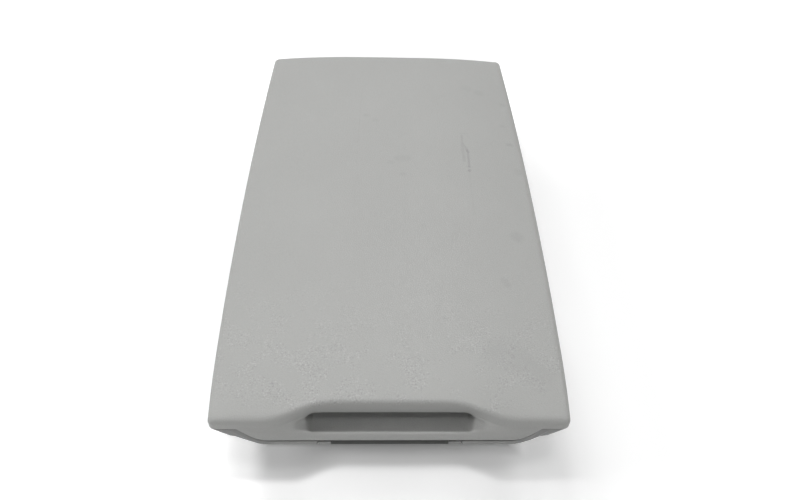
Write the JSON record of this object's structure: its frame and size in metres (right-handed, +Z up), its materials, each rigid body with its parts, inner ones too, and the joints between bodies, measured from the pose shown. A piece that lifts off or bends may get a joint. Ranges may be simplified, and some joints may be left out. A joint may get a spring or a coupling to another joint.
{
  "type": "rear seat armrest",
  "caption": "Fold-down rear seat armrest with a padded lid, scooped front edge with a finger recess, a storage bin under the lid and a release paddle.",
  "frame": {"origin": "on the underside plane, under the middle of the bounding box", "axes": "+Z up, +Y towards the rear (the seat back), front of the armrest towards -Y, +X to the right seen from the front"},
  "size_m": [0.2344, 0.395, 0.092],
  "materials": {
    "pad_skin": "fine grained soft skin, matt",
    "carrier_plastic": "ribbed moulding, matt",
    "liner_plastic": "fine textured, matt",
    "shell_plastic": "fine textured, matt",
    "tub_plastic": "fine textured, matt",
    "paddle_plastic": "fine textured, satin",
    "latch_plastic": "smooth, satin",
    "bush_plastic": "smooth, satin",
    "mat_rubber": "ribbed, matt",
    "bumper_rubber": "smooth, matt",
    "frame_steel": "black coated sheet steel, satin",
    "zinc_steel": "zinc plated",
    "spring_steel": "drawn wire"
  },
  "bodies": {
    "base": {"base_shell": "shell_plastic", "base_screws": "zinc_steel", "storage_tub": "tub_plastic", "tub_mat": "mat_rubber", "tub_screws": "zinc_steel", "lid_bumpers": "bumper_rubber", "side_plate_left": "frame_steel", "side_plate_right": "frame_steel", "rear_plate": "frame_steel", "pivot_tube": "frame_steel", "cross_tube": "frame_steel", "pivot_bush_left": "bush_plastic", "pivot_bush_right": "bush_plastic", "hinge_leaf_base": "zinc_steel", "hinge_rod": "zinc_steel", "hinge_screws": "zinc_steel", "latch_housing": "latch_plastic", "latch_pin": "zinc_steel", "latch_spring": "spring_steel"},
    "lid": {"lid_pad": "pad_skin", "lid_carrier": "carrier_plastic", "lid_liner": "liner_plastic", "liner_screws": "zinc_steel", "hinge_leaf_lid": "zinc_steel", "leaf_screws": "zinc_steel", "striker": "zinc_steel", "striker_screws": "zinc_steel"},
    "paddle": {"release_paddle": "paddle_plastic"}
  },
  "joints": [
    {"name": "lid_hinge", "type": "hinge", "parent": "base", "child": "lid", "pos_m": [0, 0.1935, 0.0685], "axis": [-1, 0, 0], "range_deg": [0, 85]},
    {"name": "paddle_hinge", "type": "hinge", "parent": "base", "child": "paddle", "pos_m": [0, -0.171, 0.04], "axis": [1, 0, 0], "range_deg": [0, 12], "stiffness_Nm_per_rad": 0.2, "springref_deg": -8.59}
  ]
}
